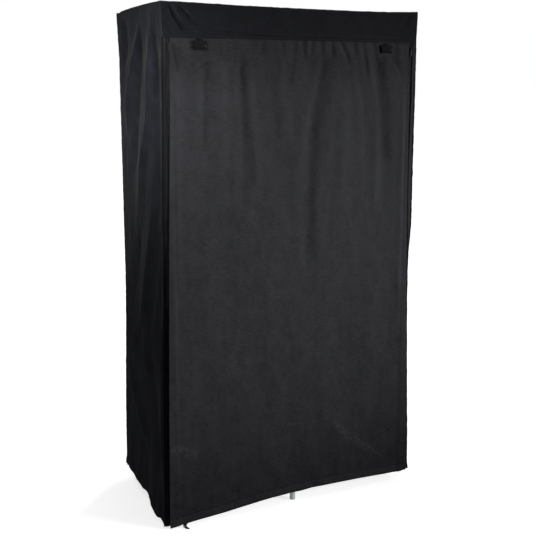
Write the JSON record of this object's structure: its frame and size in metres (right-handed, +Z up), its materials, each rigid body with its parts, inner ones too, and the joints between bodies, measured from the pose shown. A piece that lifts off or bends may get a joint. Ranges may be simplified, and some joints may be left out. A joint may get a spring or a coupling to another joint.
{
  "type": "portable fabric wardrobe",
  "caption": "Free-standing cloth wardrobe on a plug-together tube frame, with a hanging rail and a zipped front door that folds up under a header band.",
  "frame": {"origin": "on the floor, under the middle of the wardrobe's width and depth", "axes": "+Z up, -Y out of the front with the door, +X to the right as seen from the front"},
  "size_m": [0.87, 0.4563, 1.6],
  "materials": {
    "frame_tube": "satin",
    "fitting": "matte",
    "cover_cloth": "matte",
    "door_cloth": "matte",
    "zip_tape": "matte",
    "zip_metal": "satin",
    "tie_webbing": "matte",
    "loop_tape": "matte"
  },
  "bodies": {
    "frame_and_cover": {"upright_lower_front_left": "frame_tube", "upright_upper_front_left": "frame_tube", "upright_lower_front_right": "frame_tube", "upright_upper_front_right": "frame_tube", "upright_lower_back_left": "frame_tube", "upright_upper_back_left": "frame_tube", "upright_lower_back_right": "frame_tube", "upright_upper_back_right": "frame_tube", "bottom_rail_front_left": "frame_tube", "bottom_rail_front_right": "frame_tube", "top_rail_front": "frame_tube", "bottom_rail_back_left": "frame_tube", "bottom_rail_back_right": "frame_tube", "top_rail_back": "frame_tube", "bottom_rail_left": "frame_tube", "top_rail_left": "frame_tube", "bottom_rail_right": "frame_tube", "top_rail_right": "frame_tube", "hanging_rail": "frame_tube", "bottom_corner_front_left": "fitting", "bottom_corner_front_right": "fitting", "bottom_corner_back_left": "fitting", "bottom_corner_back_right": "fitting", "top_corner_front_left": "fitting", "top_corner_front_right": "fitting", "top_corner_back_left": "fitting", "top_corner_back_right": "fitting", "bottom_tee_front": "fitting", "bottom_tee_back": "fitting", "hanging_rail_sleeve_left": "fitting", "hanging_rail_sleeve_right": "fitting", "hem_loop_left": "loop_tape", "hem_loop_middle_left": "loop_tape", "hem_loop_middle_right": "loop_tape", "hem_loop_right": "loop_tape", "top_panel": "cover_cloth", "side_panel_left": "cover_cloth", "side_panel_right": "cover_cloth", "back_panel": "cover_cloth", "header_band": "cover_cloth", "front_border_left": "cover_cloth", "front_border_right": "cover_cloth", "zip_tape_left": "zip_tape", "zip_tape_right": "zip_tape"},
    "door_strip_01": {"door_strip_01": "door_cloth"},
    "door_strip_02": {"door_strip_02": "door_cloth"},
    "door_strip_03": {"door_strip_03": "door_cloth"},
    "door_strip_04": {"door_strip_04": "door_cloth"},
    "door_strip_05": {"door_strip_05": "door_cloth"},
    "door_strip_06": {"door_strip_06": "door_cloth"},
    "door_strip_07": {"door_strip_07": "door_cloth"},
    "door_strip_08": {"door_strip_08": "door_cloth"},
    "door_strip_09": {"door_strip_09": "door_cloth"},
    "door_strip_10": {"door_strip_10": "door_cloth"},
    "zip_slider_left": {"zip_slider_left": "zip_metal"},
    "zip_slider_right": {"zip_slider_right": "zip_metal"},
    "zip_pull_left": {"zip_pull_left": "zip_metal"},
    "zip_pull_right": {"zip_pull_right": "zip_metal"},
    "roll_tie_left": {"roll_tie_left": "tie_webbing"},
    "roll_tie_right": {"roll_tie_right": "tie_webbing"}
  },
  "joints": [
    {"name": "door_fold", "type": "hinge", "parent": "frame_and_cover", "child": "door_strip_01", "pos_m": [0, -0.2253, 1.5], "axis": [-1, 0, 0], "range_deg": [0, 89.5]},
    {"name": "door_fold_02", "type": "hinge", "parent": "door_strip_01", "child": "door_strip_02", "pos_m": [0, -0.2197, 1.3525], "axis": [-1, 0, 0], "range_deg": [-179, 0]},
    {"name": "door_fold_03", "type": "hinge", "parent": "door_strip_02", "child": "door_strip_03", "pos_m": [0, -0.2253, 1.205], "axis": [-1, 0, 0], "range_deg": [0, 179]},
    {"name": "door_fold_04", "type": "hinge", "parent": "door_strip_03", "child": "door_strip_04", "pos_m": [0, -0.2197, 1.0575], "axis": [-1, 0, 0], "range_deg": [-179, 0]},
    {"name": "door_fold_05", "type": "hinge", "parent": "door_strip_04", "child": "door_strip_05", "pos_m": [0, -0.2253, 0.91], "axis": [-1, 0, 0], "range_deg": [0, 179]},
    {"name": "door_fold_06", "type": "hinge", "parent": "door_strip_05", "child": "door_strip_06", "pos_m": [0, -0.2197, 0.7625], "axis": [-1, 0, 0], "range_deg": [-179, 0]},
    {"name": "door_fold_07", "type": "hinge", "parent": "door_strip_06", "child": "door_strip_07", "pos_m": [0, -0.2253, 0.615], "axis": [-1, 0, 0], "range_deg": [0, 179]},
    {"name": "door_fold_08", "type": "hinge", "parent": "door_strip_07", "child": "door_strip_08", "pos_m": [0, -0.2197, 0.4675], "axis": [-1, 0, 0], "range_deg": [-179, 0]},
    {"name": "door_fold_09", "type": "hinge", "parent": "door_strip_08", "child": "door_strip_09", "pos_m": [0, -0.2253, 0.32], "axis": [-1, 0, 0], "range_deg": [0, 179]},
    {"name": "door_fold_10", "type": "hinge", "parent": "door_strip_09", "child": "door_strip_10", "pos_m": [0, -0.2197, 0.1725], "axis": [-1, 0, 0], "range_deg": [-179, 0]},
    {"name": "zip_travel_left", "type": "slide", "parent": "frame_and_cover", "child": "zip_slider_left", "axis": [0, 0, -1], "range_m": [0, 1.437]},
    {"name": "zip_travel_right", "type": "slide", "parent": "frame_and_cover", "child": "zip_slider_right", "axis": [0, 0, -1], "range_m": [0, 1.437]},
    {"name": "pull_swing_left", "type": "hinge", "parent": "zip_slider_left", "child": "zip_pull_left", "pos_m": [-0.413, -0.2274, 1.481], "axis": [-1, 0, 0], "range_deg": [0, 170]},
    {"name": "pull_swing_right", "type": "hinge", "parent": "zip_slider_right", "child": "zip_pull_right", "pos_m": [0.413, -0.2274, 1.481], "axis": [-1, 0, 0], "range_deg": [0, 170]},
    {"name": "tie_swing_left", "type": "hinge", "parent": "door_strip_01", "child": "roll_tie_left", "pos_m": [-0.32, -0.2283, 1.497], "axis": [-1, 0, 0], "range_deg": [0, 75]},
    {"name": "tie_swing_right", "type": "hinge", "parent": "door_strip_01", "child": "roll_tie_right", "pos_m": [0.32, -0.2283, 1.497], "axis": [-1, 0, 0], "range_deg": [0, 75]}
  ],
  "couplings": [
    {"joint": "door_fold_02", "follows": "door_fold", "ratio": -2},
    {"joint": "door_fold_03", "follows": "door_fold", "ratio": 2},
    {"joint": "door_fold_04", "follows": "door_fold", "ratio": -2},
    {"joint": "door_fold_05", "follows": "door_fold", "ratio": 2},
    {"joint": "door_fold_06", "follows": "door_fold", "ratio": -2},
    {"joint": "door_fold_07", "follows": "door_fold", "ratio": 2},
    {"joint": "door_fold_08", "follows": "door_fold", "ratio": -2},
    {"joint": "door_fold_09", "follows": "door_fold", "ratio": 2},
    {"joint": "door_fold_10", "follows": "door_fold", "ratio": -2},
    {"joint": "zip_travel_left", "follows": "door_fold", "m_per_rad": 0.9199},
    {"joint": "zip_travel_right", "follows": "door_fold", "m_per_rad": 0.9199}
  ]
}
